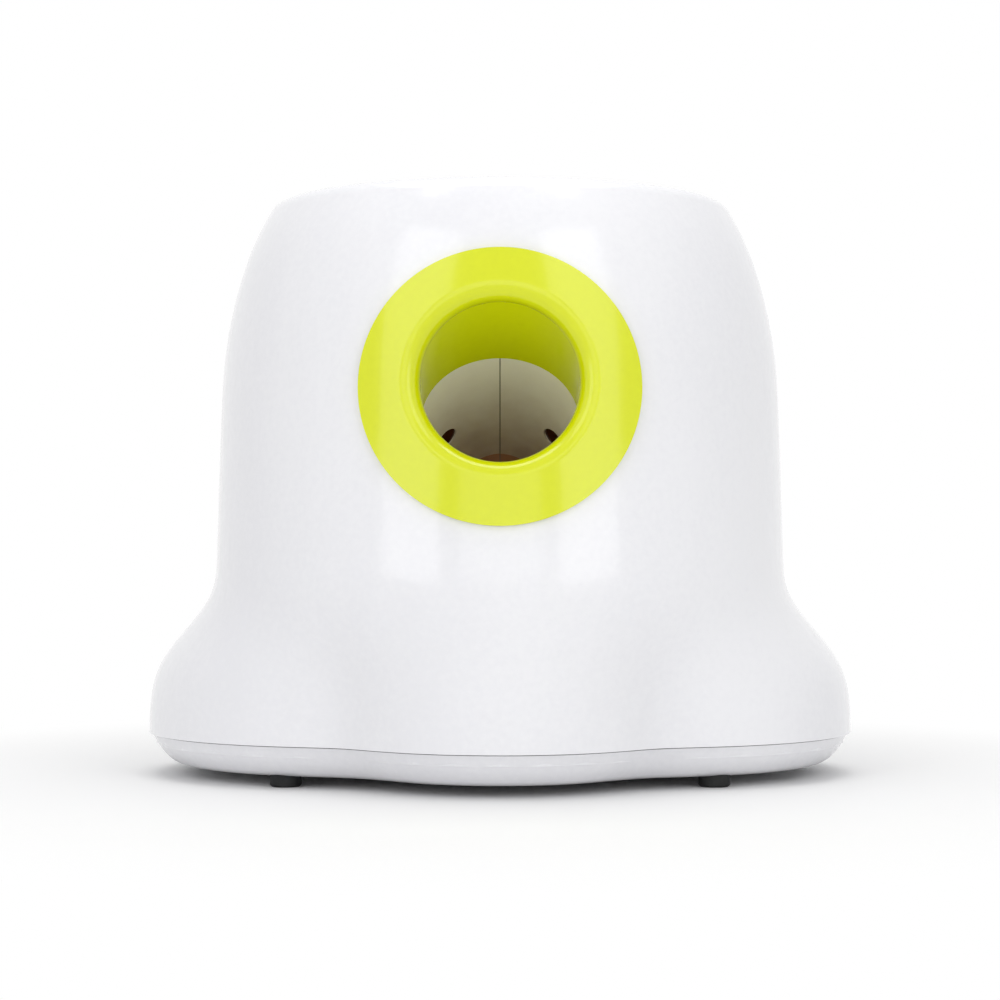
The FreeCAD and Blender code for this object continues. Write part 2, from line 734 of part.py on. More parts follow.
def geared(parts, centre, x0, x1):
    hub = disc_x(AXLE_R + 2.2, x0, x1, centre)
    bore = disc_x(AXLE_R + RUN, x0 - 1, x1 + 1, centre)
    return fused(parts + [hub]).cut(bore)


def sector_gear():
    output, second, first, motor = gear_centres()
    down = math.radians(180 + 90 - TILT)
    sector = gear(SECTOR_TEETH, -RACK_W / 2, RACK_W / 2, output, down, SECTOR_CUT)
    wheel = gear(WHEEL_TEETH, 7, 12, output, bearing_of(output, second))
    return geared([sector, wheel], output, PLATE_LEFT + PLATE + GAP, PLATE_RIGHT - GAP)


def compound(centre, lower, upper, small_x, big_x, x0, x1):
    """A pinion that meshes with the wheel below it and a wheel that meshes with the pinion above it."""
    gap = math.pi / PINION_TEETH
    small = gear(PINION_TEETH, small_x[0], small_x[1], centre, bearing_of(centre, lower) + gap)
    big = gear(WHEEL_TEETH, big_x[0], big_x[1], centre, bearing_of(centre, upper))
    return geared([small, big], centre, x0, x1)


def second_gear():
    output, second, first, motor = gear_centres()
    return compound(second, output, first, (6.5, 12.5), (14, 18), 2, PLATE_RIGHT - GAP)


def first_gear():
    output, second, first, motor = gear_centres()
    return compound(first, second, motor, (13.5, 18.8), (19.8, 23), 2, PLATE_RIGHT - GAP)


def motor_pinion():
    output, second, first, motor = gear_centres()
    gap = math.pi / PINION_TEETH
    pinion = gear(PINION_TEETH, 19.5, 23.5, motor, bearing_of(motor, first) + gap)
    return pinion.cut(disc_x(SHAFT_R, 19, 24, motor))


def motor_shaft():
    return disc_x(SHAFT_R, 19.5, PLATE_RIGHT + PLATE + 6, gear_centres()[3])


def motor():
    centre = gear_centres()[3]
    x0 = PLATE_RIGHT + PLATE
    can = disc_x(MOTOR_R, x0, x0 + MOTOR_LEN, centre)
    nose = disc_x(NOSE_R, x0 - 1.5, x0, centre)
    tail = disc_x(NOSE_R, x0 + MOTOR_LEN, x0 + MOTOR_LEN + 2, centre)
    sides = box(x0, x0 + MOTOR_LEN, centre.y - 20, centre.y + 20, centre.z - MOTOR_FLAT, centre.z + MOTOR_FLAT)
    can = can.common(sides)
    return fused([can, nose, tail]).cut(disc_x(SHAFT_R + 0.3, x0 - 2, x0 + 8, centre))


def gear_axles():
    pins = [disc_x(AXLE_R, PLATE_LEFT, PLATE_RIGHT + PLATE, c) for c in gear_centres()[:3]]
    return Part.makeCompound(pins)


def side_plate(x0, x1):
    """A gearbox wall: rounded links between the gear centres and a leg down to the tray floor."""
    centres = gear_centres()
    pieces = []
    for c in centres:
        pieces.append(disc_x(PLATE_ARM, x0, x1, c))
    for a, b in zip(centres, centres[1:]):
        side = V(0, b.z - a.z, a.y - b.y).normalize() * PLATE_ARM
        points = [a + side, b + side, b - side, a - side]
        pieces.append(prism_x([(p.y, p.z) for p in points], x0, x1))
    output = centres[0]
    leg = [(output.y - 4, output.z), (LEG_FRONT + 4, 40), (LEG_FRONT, 28), (LEG_FRONT, FLOOR_Z)]
    leg += [(LEG_BACK, FLOOR_Z), (LEG_BACK, 40), (output.y + PLATE_ARM, output.z)]
    pieces.append(prism_x(leg, x0, x1))
    return fused(pieces)


def gearbox_frame():
    x1 = PLATE_LEFT + PLATE
    plate = side_plate(PLATE_LEFT, x1)
    foot = box(PLATE_LEFT - 9, PLATE_LEFT, PLATE_FOOT[0], PLATE_FOOT[1], FLOOR_Z, FLOOR_Z + 3)
    ears = [disc_x(r, PLATE_LEFT, x1, V(0, *at)) for r, at in zip(EARS, SPACERS)]
    frame = fused([plate, foot] + ears)
    posts = [disc_x(3.5, x1, PLATE_RIGHT, V(0, y, z)) for y, z in SPACERS]
    frame = frame.fuse(posts)
    cuts = [disc_x(AXLE_R, PLATE_LEFT - 1, x1 + 1, c) for c in gear_centres()[:3]]
    cuts += [disc_x(PILOT_R, PLATE_RIGHT - 10, PLATE_RIGHT + 1, V(0, y, z)) for y, z in SPACERS]
    cuts.append(Part.makeCylinder(SCREW_R + SLIP, 8, V(PLATE_LEFT - 5, sum(PLATE_FOOT) / 2, FLOOR_Z - 1)))
    return frame.cut(cuts)


def gearbox_cover():
    x1 = PLATE_RIGHT + PLATE
    plate = side_plate(PLATE_RIGHT, x1)
    foot = box(x1, x1 + 9, PLATE_FOOT[0], PLATE_FOOT[1], FLOOR_Z, FLOOR_Z + 3)
    ears = [disc_x(r, PLATE_RIGHT, x1, V(0, *at)) for r, at in zip(EARS, SPACERS)]
    cover = fused([plate, foot] + ears)
    centres = gear_centres()
    cuts = [disc_x(AXLE_R, PLATE_RIGHT - 1, x1 + 1, c) for c in centres[:3]]
    cuts.append(disc_x(NOSE_R + EASE, PLATE_RIGHT - 1, x1 + 1, centres[3]))
    cuts += [disc_x(SCREW_R + SLIP, PLATE_RIGHT - 1, x1 + 1, V(0, y, z)) for y, z in SPACERS]
    cuts.append(Part.makeCylinder(SCREW_R + SLIP, 8, V(x1 + 5, sum(PLATE_FOOT) / 2, FLOOR_Z - 1)))
    return cover.cut(cuts)


# Electrics

def main_board():
    board = box(BOARD_X[0], BOARD_X[1], BOARD_Y[0], BOARD_Y[1], BOARD_Z, BOARD_Z + BOARD)
    holes = [Part.makeCylinder(SCREW_R + EASE, 6, V(x, y, BOARD_Z - 2)) for x, y in BOARD_POSTS]
    return board.cut(holes)


def board_components():
    top = BOARD_Z + BOARD
    parts = [
        box(-86, -76, -4, 6, top, top + 1.6),
        box(-92, -80, 12, 24, top, top + 10),
        Part.makeCylinder(4, 12, V(-68, 4, top)),
        box(-74, -64, 18, 25, top, top + 6),
    ]
    return Part.makeCompound(parts)


def beeper():
    top = BOARD_Z + BOARD
    can = Part.makeCylinder(5.5, 7, V(-93, 3, top))
    return can.cut(Part.makeCylinder(1.2, 2, V(-93, 3, top + 6)))


def control_panel():
    plate = stadium_y(PANEL_HALF, PANEL_R, PANEL_Z, 90, 120)
    plate = plate.common(trunk_solid(PANEL_PROUD)).cut(trunk_solid(-PANEL_BACK))
    frame = stadium_y(PANEL_HALF, PANEL_R + 2.3, PANEL_Z, 90, 120)
    frame = frame.common(trunk_solid(-WALL - 1.2)).cut(trunk_solid(-PANEL_BACK))
    posts = [rod(2.5, V(x, SWITCH_FACE - SWITCH_H, PANEL_Z), V(x, 103.5, PANEL_Z)) for x in PANEL_POST_X]
    panel = plate.fuse([frame] + posts)
    cuts = [rod(BUTTON_R + GAP, V(x, 90, PANEL_Z), V(x, 120, PANEL_Z)) for x in (-BUTTON_X, BUTTON_X)]
    cuts += [rod(LENS_R + EASE, V(x, 90, LENS_Z), V(x, 120, LENS_Z)) for x in LENS_X]
    cuts += [rod(PILOT_R, V(x, 90, PANEL_Z), V(x, 101, PANEL_Z)) for x in PANEL_POST_X]
    return panel.cut(cuts)


def indicator_lenses():
    pins = [rod(LENS_R, V(x, 102, LENS_Z), V(x, 112, LENS_Z)) for x in LENS_X]
    skin = trunk_solid(PANEL_PROUD)
    return Part.makeCompound([pin.common(skin) for pin in pins])


def button(x):
    stem = rod(BUTTON_R, V(x, BUTTON_FLANGE[1], PANEL_Z), V(x, BUTTON_TIP, PANEL_Z))
    rim = [edge for edge in stem.Edges if edge.BoundBox.YMin > BUTTON_TIP - 0.01]
    stem = stem.makeChamfer(0.6, rim)
    flange = rod(BUTTON_R + 1.3, V(x, BUTTON_FLANGE[0], PANEL_Z), V(x, BUTTON_FLANGE[1], PANEL_Z))
    return stem.fuse(flange)


def control_board():
    y1 = SWITCH_FACE - SWITCH_H
    board = box(-33, 33, y1 - BOARD, y1, PANEL_Z - 12, PANEL_Z + 12)
    return board.cut([rod(SCREW_R + EASE, V(x, 90, PANEL_Z), V(x, 100, PANEL_Z)) for x in PANEL_POST_X])


def button_switches():
    y0 = SWITCH_FACE - SWITCH_H
    both = []
    for x in (-BUTTON_X, BUTTON_X):
        body = box(x - 3, x + 3, y0, SWITCH_FACE, PANEL_Z - 3, PANEL_Z + 3)
        plunger = rod(1.7, V(x, SWITCH_FACE, PANEL_Z), V(x, SWITCH_FACE + 1.5, PANEL_Z))
        both.append(body.fuse(plunger))
    return Part.makeCompound(both)


def power_inlet():
    point, facing = inlet_frame()
    barrel = rod(INLET_R, point - facing * 14, point - facing * 0.2)
    body = rod(INLET_R + 1.8, point - facing * 14, point - facing * 4.2)
    pocket = rod(2.8, point - facing * 11, point + facing * 1)
    pin = rod(1.05, point - facing * 12, point - facing * 2)
    return barrel.fuse(body).cut(pocket).fuse(pin)


def battery_door():
    wide = TUB_X + DOOR_LIP - GAP
    deep = DOOR_LIP - GAP
    door = box(-wide, wide, TUB_Y[0] - deep, TUB_Y[1] + deep, FOOT_SHOW, FOOT_SHOW + DOOR_T)
    edges = [e for e in door.Edges if e.BoundBox.ZLength > 1]
    door = door.makeFillet(4, edges)
    cuts = []
    for x, y in DOOR_SCREWS:
        cuts.append(Part.makeCylinder(SCREW_R + 0.3, 8, V(x, y, FOOT_SHOW - 1)))
        cuts.append(Part.makeCone(HEAD_R + 0.3, SCREW_R + 0.3, 1.5, V(x, y, FOOT_SHOW)))
    return door.cut(cuts)


def battery_cells():
    nub_r, nub_len = NUB
    cells = []
    for y in CELL_ROWS:
        for side in (-1, 1):
            tail = 0.7 if side > 0 else -0.7 - CELL_LEN
            neck = tail + CELL_LEN - nub_len
            can = rod(CELL_R, V(tail, y, CELL_Z), V(neck, y, CELL_Z))
            nub = rod(nub_r, V(neck, y, CELL_Z), V(tail + CELL_LEN, y, CELL_Z))
            cells.append(can.fuse(nub))
    return Part.makeCompound(cells)


def battery_contacts():
    thick, half = CONTACT
    plates = []
    for y in CELL_ROWS:
        for x in (-TUB_X, TUB_X - thick):
            plates.append(box(x, x + thick, y - half, y + half, CELL_Z - half, CELL_Z + half))
    return Part.makeCompound(plates)


def rubber_feet():
    feet = []
    for x, y in FEET:
        for side in (-1, 1):
            foot = Part.makeCylinder(FOOT_R, FOOT_SHOW + FOOT_SINK, V(side * x, y, 0))
            rim = [edge for edge in foot.Edges if edge.BoundBox.ZMax < 0.01]
            feet.append(foot.makeChamfer(0.8, rim))
    return Part.makeCompound(feet)


# Screws

def screw(point, into, length):
    """A pan head screw whose head seats on the point; into is the way its shank goes."""
    return rod(HEAD_R, point - into * HEAD_H, point).fuse(rod(PILOT_R, point, point + into * length))


def housing_screws():
    up = V(0, 0, 1)
    z = FOOT_SHOW + HEAD_H + 1
    return Part.makeCompound([screw(V(s * x, y, z), up, 22) for x, y in POSTS for s in (-1, 1)])


def barrel_screws():
    right = V(-1, 0, 0)
    points = [barrel_point(a, h, LUG_REACH) for a, h in BARREL_LUGS] + [V(LUG_REACH, *CHUTE_LUG)]
    return Part.makeCompound([screw(p, right, 2 * LUG_REACH - 2) for p in points])


def gearbox_screws():
    left = V(-1, 0, 0)
    return Part.makeCompound([screw(V(PLATE_RIGHT + PLATE, y, z), left, 10) for y, z in SPACERS])


def board_screws():
    down = V(0, 0, -1)
    top = BOARD_Z + BOARD
    all_of = [screw(V(x, y, top), down, 6) for x, y in (BOARD_POSTS[0], BOARD_POSTS[3])]
    y0 = SWITCH_FACE - SWITCH_H - BOARD
    all_of += [screw(V(x, y0, PANEL_Z), V(0, 1, 0), 6) for x in PANEL_POST_X]
    return Part.makeCompound(all_of)


if __name__ == "__main__":
    save("upper_housing", upper_housing())
    save("lower_housing", lower_housing())
    save("hopper_bowl", hopper_bowl())
    save("launch_ring", launch_ring())
    save("barrel_left", barrel_half(-1))
    save("barrel_right", barrel_half(1))
    save("ir_window_left", ir_window(-1))
    save("ir_window_right", ir_window(1))
    save("sensor_board_left", sensor_board(-1))
    save("sensor_board_right", sensor_board(1))
    save("striker", striker())
    save("striker_pad", striker_pad())
    save("launch_spring", launch_spring())
    save("guide_rod", guide_rod())
    save("spring_bracket", spring_bracket())
    save("gearbox_frame", gearbox_frame())
    save("gearbox_cover", gearbox_cover())
    save("sector_gear", sector_gear())
    save("second_gear", second_gear())
    save("first_gear", first_gear())
    save("gear_axles", gear_axles())
    save("motor", motor())
    save("motor_shaft", motor_shaft())
    save("motor_pinion", motor_pinion())
    save("main_board", main_board())
    save("board_components", board_components())
    save("beeper", beeper())
    save("control_panel", control_panel())
    save("control_board", control_board())
    save("button_switches", button_switches())
    save("power_button", button(-BUTTON_X))
    save("distance_button", button(BUTTON_X))
    save("indicator_lenses", indicator_lenses())
    save("power_inlet", power_inlet())
    save("battery_door", battery_door())
    save("battery_cells", battery_cells())
    save("battery_contacts", battery_contacts())
    save("rubber_feet", rubber_feet())
    save("housing_screws", housing_screws())
    save("barrel_screws", barrel_screws())
    save("gearbox_screws", gearbox_screws())
    save("board_screws", board_screws())
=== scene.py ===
"""Looks of the ball launcher: finishes, the coil of its launch spring, and the studio."""

import json
import logging
import math
from dataclasses import dataclass, field
from enum import Enum
from typing import Any, Dict, List, Optional, Sequence, Tuple, Union

import bpy
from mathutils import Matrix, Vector

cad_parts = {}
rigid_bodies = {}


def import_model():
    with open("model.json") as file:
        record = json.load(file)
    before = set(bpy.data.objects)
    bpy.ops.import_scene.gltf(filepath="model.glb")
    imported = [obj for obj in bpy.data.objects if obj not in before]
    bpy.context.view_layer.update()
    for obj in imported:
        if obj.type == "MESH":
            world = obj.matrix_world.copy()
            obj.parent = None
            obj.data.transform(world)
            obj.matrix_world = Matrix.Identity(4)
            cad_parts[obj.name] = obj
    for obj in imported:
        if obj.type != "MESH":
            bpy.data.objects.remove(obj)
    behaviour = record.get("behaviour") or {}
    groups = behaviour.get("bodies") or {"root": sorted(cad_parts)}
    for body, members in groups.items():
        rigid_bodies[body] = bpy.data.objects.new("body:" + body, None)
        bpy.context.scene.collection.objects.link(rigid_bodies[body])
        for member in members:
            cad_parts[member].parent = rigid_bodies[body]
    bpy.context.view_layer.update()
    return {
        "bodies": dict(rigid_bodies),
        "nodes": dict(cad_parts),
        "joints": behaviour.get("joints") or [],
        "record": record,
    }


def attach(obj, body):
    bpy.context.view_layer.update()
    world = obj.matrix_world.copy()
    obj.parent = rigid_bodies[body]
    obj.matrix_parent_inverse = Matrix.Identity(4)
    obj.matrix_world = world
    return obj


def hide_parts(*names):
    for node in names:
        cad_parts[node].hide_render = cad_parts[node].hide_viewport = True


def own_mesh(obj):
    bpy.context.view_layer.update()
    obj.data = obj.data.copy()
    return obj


log = logging.getLogger("launcher")
Colour = Tuple[float, float, float]
Term = Union["Wire", float]

MOUTH = (0.0, -0.083, 0.1366)
TILT = math.radians(33.0)


def linear(red: int, green: int, blue: int) -> Colour:
    """Turns a display colour into the linear one that shaders use.

    Args:
        red: red from 0 to 255.
        green: green from 0 to 255.
        blue: blue from 0 to 255.

    Returns:
        The three linear components.
    """

    def one(value: int) -> float:
        """Linear value of one component.

        Args:
            value: component from 0 to 255.

        Returns:
            The linear component.
        """
        share = value / 255
        return share / 12.92 if share <= 0.04045 else ((share + 0.055) / 1.055) ** 2.4

    return one(red), one(green), one(blue)


class Ramp(Enum):
    """How a value moves between two limits."""

    LINEAR = "LINEAR"
    SMOOTH = "SMOOTHSTEP"


class Wire:
    """A shader socket that takes part in Python expressions."""

    def __init__(self, graph: "Graph", socket: Any) -> None:
        """Wraps a socket.

        Args:
            graph: the graph that the socket belongs to.
            socket: the output socket.
        """
        self.graph = graph
        self.socket = socket

    def _math(self, operation: str, first: Term, second: Term = 0.0) -> "Wire":
        """Adds a Math node.

        Args:
            operation: the node's operation.
            first: first operand.
            second: second operand.

        Returns:
            The result.
        """
        return self.graph.node("ShaderNodeMath", [first, second], operation=operation)

    def __add__(self, other: Term) -> "Wire":
        """Sum of two values."""
        return self._math("ADD", self, other)

    def __radd__(self, other: Term) -> "Wire":
        """Sum with the value on the left."""
        return self._math("ADD", other, self)

    def __sub__(self, other: Term) -> "Wire":
        """Difference of two values."""
        return self._math("SUBTRACT", self, other)

    def __rsub__(self, other: Term) -> "Wire":
        """Difference with the value on the left."""
        return self._math("SUBTRACT", other, self)

    def __mul__(self, other: Term) -> "Wire":
        """Product of two values."""
        return self._math("MULTIPLY", self, other)

    def __rmul__(self, other: Term) -> "Wire":
        """Product with the value on the left."""
        return self._math("MULTIPLY", other, self)

    def __truediv__(self, other: Term) -> "Wire":
        """Quotient of two values."""
        return self._math("DIVIDE", self, other)

    def __rtruediv__(self, other: Term) -> "Wire":
        """Quotient with the value on the left."""
        return self._math("DIVIDE", other, self)

    def __gt__(self, other: Term) -> "Wire":
        """One where the value is above the other."""
        return self._math("GREATER_THAN", self, other)

    def __lt__(self, other: Term) -> "Wire":
        """One where the value is below the other."""
        return self._math("LESS_THAN", self, other)

    def wave(self) -> "Wire":
        """Sine of the value.

        Returns:
            The sine.
        """
        return self._math("SINE", self)

    def size(self) -> "Wire":
        """Absolute value.

        Returns:
            The value without its sign.
        """
        return self._math("ABSOLUTE", self)

    def between(self, low: float, high: float, ramp: Ramp = Ramp.SMOOTH) -> "Wire":
        """Maps the range from low to high onto 0 to 1.

        Args:
            low: value that gives 0.
            high: value that gives 1.
            ramp: the curve between the two.

        Returns:
            A value from 0 to 1.
        """
        limits = {"Value": self, "From Min": low, "From Max": high}
        return self.graph.node("ShaderNodeMapRange", limits, interpolation_type=ramp.value)

    def mix(self, low: Union["Wire", Colour], high: Union["Wire", Colour]) -> "Wire":
        """Blends two colours by this value.

        Args:
            low: colour where the value is 0.
            high: colour where the value is 1.

        Returns:
            The blended colour.
        """
        node = self.graph.tree.nodes.new("ShaderNodeMix")
        node.data_type = "RGBA"
        self.graph.feed(node.inputs[0], self)
        self.graph.feed(node.inputs[6], low)
        self.graph.feed(node.inputs[7], high)
        return Wire(self.graph, node.outputs[2])

    def part(self, axis: str) -> "Wire":
        """One component of a vector.

        Args:
            axis: X, Y or Z.

        Returns:
            The component.
        """
        return self.graph.node("ShaderNodeSeparateXYZ", [self], output=axis)

    def stretched(self, x: float, y: float, z: float) -> "Wire":
        """The vector multiplied along each axis.

        Args:
            x: factor along X.
            y: factor along Y.
            z: factor along Z.

        Returns:
            The stretched vector.
        """
        return self.graph.node("ShaderNodeVectorMath", [self, (x, y, z)], operation="MULTIPLY")

    def length(self) -> "Wire":
        """Length of the vector.

        Returns:
            The length.
        """
        return self.graph.node("ShaderNodeVectorMath", [self], output="Value", operation="LENGTH")


class Graph:
    """The node graph of one material, or of the world."""

    def __init__(self, name: str, world_tree: Any = None) -> None:
        """Starts an empty graph.

        Args:
            name: name of the material.
            world_tree: the world's node tree, or None for a material.
        """
        if world_tree is not None:
            self.tree = world_tree
            self.tree.nodes.clear()
            self.exit = self.tree.nodes.new("ShaderNodeOutputWorld")
            return
        self.material = bpy.data.materials.new(name)
        self.material.use_nodes = True
        self.tree = self.material.node_tree
        self.tree.nodes.clear()
        self.shader = self.tree.nodes.new("ShaderNodeBsdfPrincipled")
        self.exit = self.tree.nodes.new("ShaderNodeOutputMaterial")
        self.tree.links.new(self.shader.outputs[0], self.exit.inputs[0])

    def feed(self, target: Any, value: Any) -> None:
        """Links a wire to a socket, or writes a constant into it.

        Args:
            target: the input socket.
            value: a wire, number, vector or colour.
        """
        if isinstance(value, Wire):
            self.tree.links.new(value.socket, target)
        elif isinstance(value, tuple) and len(value) == 3 and len(target.default_value) == 4:
            target.default_value = (*value, 1.0)
        else:
            target.default_value = value

    def node(self, kind: str, inputs: Any = None, output: Optional[str] = None, **settings: Any) -> Wire:
        """Adds any node.

        Args:
            kind: the node's type.
            inputs: values in order, or by name.
            output: name of the output to return, or None for the first.
            **settings: the node's own settings.

        Returns:
            The chosen output.
        """
        made = self.tree.nodes.new(kind)
        for key, value in settings.items():
            setattr(made, key, value)
        pairs = inputs.items() if isinstance(inputs, dict) else enumerate(inputs or [])
        for key, value in pairs:
            self.feed(made.inputs[key], value)
        return Wire(self, made.outputs[output] if output else made.outputs[0])

    def place(self) -> Wire:
        """Position on the object, in metres.

        Returns:
            The position as a vector.
        """
        return self.node("ShaderNodeTexCoord", output="Object")

    def seen(self) -> Wire:
        """One for rays that show the backdrop: from the camera, in gloss and through clear pieces.

        Returns:
            One or zero.
        """
        kinds = ("Is Camera Ray", "Is Glossy Ray", "Is Transmission Ray")
        rays = [self.node("ShaderNodeLightPath", output=kind) for kind in kinds]
        return (rays[0] + rays[1] + rays[2]) > 0.5

    def noise(self, scale: float, detail: float = 3.0, vector: Optional[Wire] = None) -> Wire:
        """Soft noise from 0 to 1.

        Args:
            scale: grains per metre.
            detail: number of finer layers.
            vector: position to look up, or None for the object's own.

        Returns:
            The noise value.
        """
        values = {"Vector": vector or self.place(), "Scale": scale, "Detail": detail}
        return self.node("ShaderNodeTexNoise", values, output="Fac")

    def cells(self, scale: float, vector: Optional[Wire] = None) -> Wire:
        """Distance to the nearest of scattered points.

        Args:
            scale: cells per metre.
            vector: position to look up, or None for the object's own.

        Returns:
            The distance in cells.
        """
        where = vector or self.place()
        return self.node("ShaderNodeTexVoronoi", {"Vector": where, "Scale": scale}, output="Distance")

    def bump(self, height: Wire, depth: float) -> None:
        """Feeds a bump into the shader's normal.

        Args:
            height: the relief, from 0 to 1.
            depth: depth of the relief in metres.
        """
        self.feed(
            self.shader.inputs["Normal"],
            self.node("ShaderNodeBump", {"Height": height, "Strength": 1.0, "Distance": depth}),
        )

    def set(self, **values: Any) -> None:
        """Sets inputs of the main shader.

        Args:
            **values: input names with underscores for spaces, and their values.
        """
        for key, value in values.items():
            self.feed(self.shader.inputs[key.replace("_", " ")], value)


@dataclass(frozen=True)
class Gloss:
    """Glossy moulded plastic with faint flow marks and a fine ripple."""

    colour: Colour
    shade: Colour
    roughness: float = 0.14
    ripple: float = 0.00002

    def material(self, name: str) -> Any:
        """Makes the material.

        Args:
            name: name of the material.

        Returns:
            The Blender material.
        """
        graph = Graph(name)
        flow = graph.noise(14.0, 4.0, graph.place().stretched(1.0, 1.0, 0.35))
        specks = graph.noise(420.0, 2.0)
        tone = flow * 0.7 + specks * 0.3
        graph.set(
            Base_Color=tone.between(0.32, 0.68).mix(self.shade, self.colour),
            Roughness=specks * 0.05 + (self.roughness - 0.025),
            IOR=1.5,
            Coat_Weight=0.25,
            Coat_Roughness=0.05,
        )
        graph.bump(graph.noise(60.0, 3.0), self.ripple)
        return graph.material


@dataclass(frozen=True)
class Satin:
    """Spark-textured plastic: a fine even grain over a plain colour."""

    colour: Colour
    shade: Colour
    roughness: float = 0.45
    grain: float = 0.00004
    scale: float = 1600.0

    def material(self, name: str) -> Any:
        """Makes the material.

        Args:
            name: name of the material.

        Returns:
            The Blender material.
        """
        graph = Graph(name)
        grain = graph.noise(self.scale, 2.0)
        flow = graph.noise(30.0, 3.0)
        graph.set(
            Base_Color=(flow * 0.6 + grain * 0.4).between(0.3, 0.7).mix(self.shade, self.colour),
            Roughness=grain * 0.16 + (self.roughness - 0.08),
            IOR=1.48,
        )
        graph.bump(grain, self.grain)
        return graph.material


@dataclass(frozen=True)
class Deepening:
    """Satin plastic of the barrel with painted shade that deepens away from its mouth, and the halves'
    parting line.
    """

    near: Colour
    # colour of the painted shade deep inside the bore
    far_painted_shade: Colour
    start: Tuple[float, float, float]
    heading: Tuple[float, float, float]
    reach: float
    parting: float = 0.0002
    line: Colour = (0.12, 0.1, 0.07)

    def material(self, name: str) -> Any:
        """Makes the material.

        Args:
            name: name of the material.

        Returns:
            The Blender material.
        """
        graph = Graph(name)
        offset = graph.node("ShaderNodeVectorMath", [graph.place(), self.start], operation="SUBTRACT")
        pair = [offset, self.heading]
        depth = graph.node("ShaderNodeVectorMath", pair, output="Value", operation="DOT_PRODUCT")
        scuff = graph.noise(90.0, 5.0)
        # painted shade: the bore gets darker with depth from the mouth, its edge broken up by scuff noise
        dust_and_painted_shade = (depth / self.reach + scuff * 0.3 - 0.15).between(0.0, 1.0)
        parting = graph.place().part("X").size() < self.parting
        graph.set(
            Base_Color=parting.mix(dust_and_painted_shade.mix(self.near, self.far_painted_shade), self.line),
            Roughness=scuff * 0.2 + 0.28,
            IOR=1.48,
        )
        graph.bump(graph.noise(1200.0, 2.0), 0.00003)
        return graph.material


@dataclass(frozen=True)
class Rubber:
    """Moulded rubber with a dusty, pitted surface."""

    colour: Colour
    # colour of the real dust patches on the rubber
    dust_and_painted_shade: Colour

    def material(self, name: str) -> Any:
        """Makes the material.

        Args:
            name: name of the material.

        Returns:
            The Blender material.
        """
        graph = Graph(name)
        pits = graph.cells(900.0)
        patches = graph.noise(70.0, 5.0)
        graph.set(
            Base_Color=patches.between(0.45, 0.75).mix(self.colour, self.dust_and_painted_shade),
            Roughness=patches * 0.2 + 0.6,
            Specular_IOR_Level=0.35,
        )
        graph.bump(pits, 0.00005)
        return graph.material


@dataclass(frozen=True)
class Metal:
    """Metal with fine draw lines and small stains."""

    colour: Colour
    stain: Colour
    roughness: float = 0.28
    lines: Tuple[float, float, float] = (40.0, 1.0, 1.0)

    def material(self, name: str) -> Any:
        """Makes the material.

        Args:
            name: name of the material.

        Returns:
            The Blender material.
        """
        graph = Graph(name)
        drawn = graph.noise(60.0, 3.0, graph.place().stretched(*self.lines))
        stains = graph.noise(160.0, 4.0)
        graph.set(
            Base_Color=stains.between(0.5, 0.8).mix(self.colour, self.stain),
            Metallic=1.0,
            Roughness=drawn * 0.18 + stains * 0.08 + (self.roughness - 0.1),
        )
        graph.bump(drawn, 0.00002)
        return graph.material


@dataclass(frozen=True)
class Laminate:
    """Circuit board: solder mask with tracks a shade lighter under it."""

    mask: Colour
    track: Colour
    columns: float = 2100.0
    rows: float = 900.0

    def material(self, name: str) -> Any:
        """Makes the material.

        Args:
            name: name of the material.

        Returns:
            The Blender material.
        """
        graph = Graph(name)
        place = graph.place()
        along = (place.part("Y") + place.part("Z")) * self.rows
        bands = (place.part("X") * self.columns).wave() * along.wave()
        weave = graph.noise(900.0, 2.0)
        graph.set(
            Base_Color=bands.between(0.35, 0.45).mix(self.mask, self.track),
            Roughness=weave * 0.15 + 0.22,
        )
        graph.bump(bands.between(0.35, 0.45), 0.00003)
        return graph.material


@dataclass(frozen=True)
class Clear:
    """Tinted see-through plastic."""

    colour: Colour
    cloudy: float = 0.08
    passing: float = 0.6

    def material(self, name: str) -> Any:
        """Makes the material.

        Args:
            name: name of the material.

        Returns:
            The Blender material.
        """
        graph = Graph(name)
        haze = graph.noise(500.0, 3.0)
        deeper = tuple(c * 0.7 for c in self.colour)
        graph.set(
            Base_Color=haze.between(0.3, 0.7).mix(self.colour, deeper),
            Roughness=haze * 0.06 + self.cloudy,
            Transmission_Weight=self.passing,
            IOR=1.49,
        )
        graph.bump(haze, 0.00001)
        return graph.material


@dataclass(frozen=True)
class Jacket:
    """Cell jacket: a plain colour with a lighter band, at distances from the middle of the pair of cells."""

    colour: Colour
    band: Colour
    band_start: float = 0.036
    band_end: float = 0.044

    def material(self, name: str) -> Any:
        """Makes the material.

        Args:
            name: name of the material.

        Returns:
            The Blender material.
        """
        graph = Graph(name)
        along = graph.place().part("X").size()
        ring = (along > self.band_start) * (along < self.band_end)
        wear = graph.noise(220.0, 4.0)
        graph.set(
            Base_Color=ring.mix(self.colour, self.band),
            Roughness=wear * 0.15 + 0.22,
            Coat_Weight=0.3,
        )
        graph.bump(wear, 0.00002)
        return graph.material


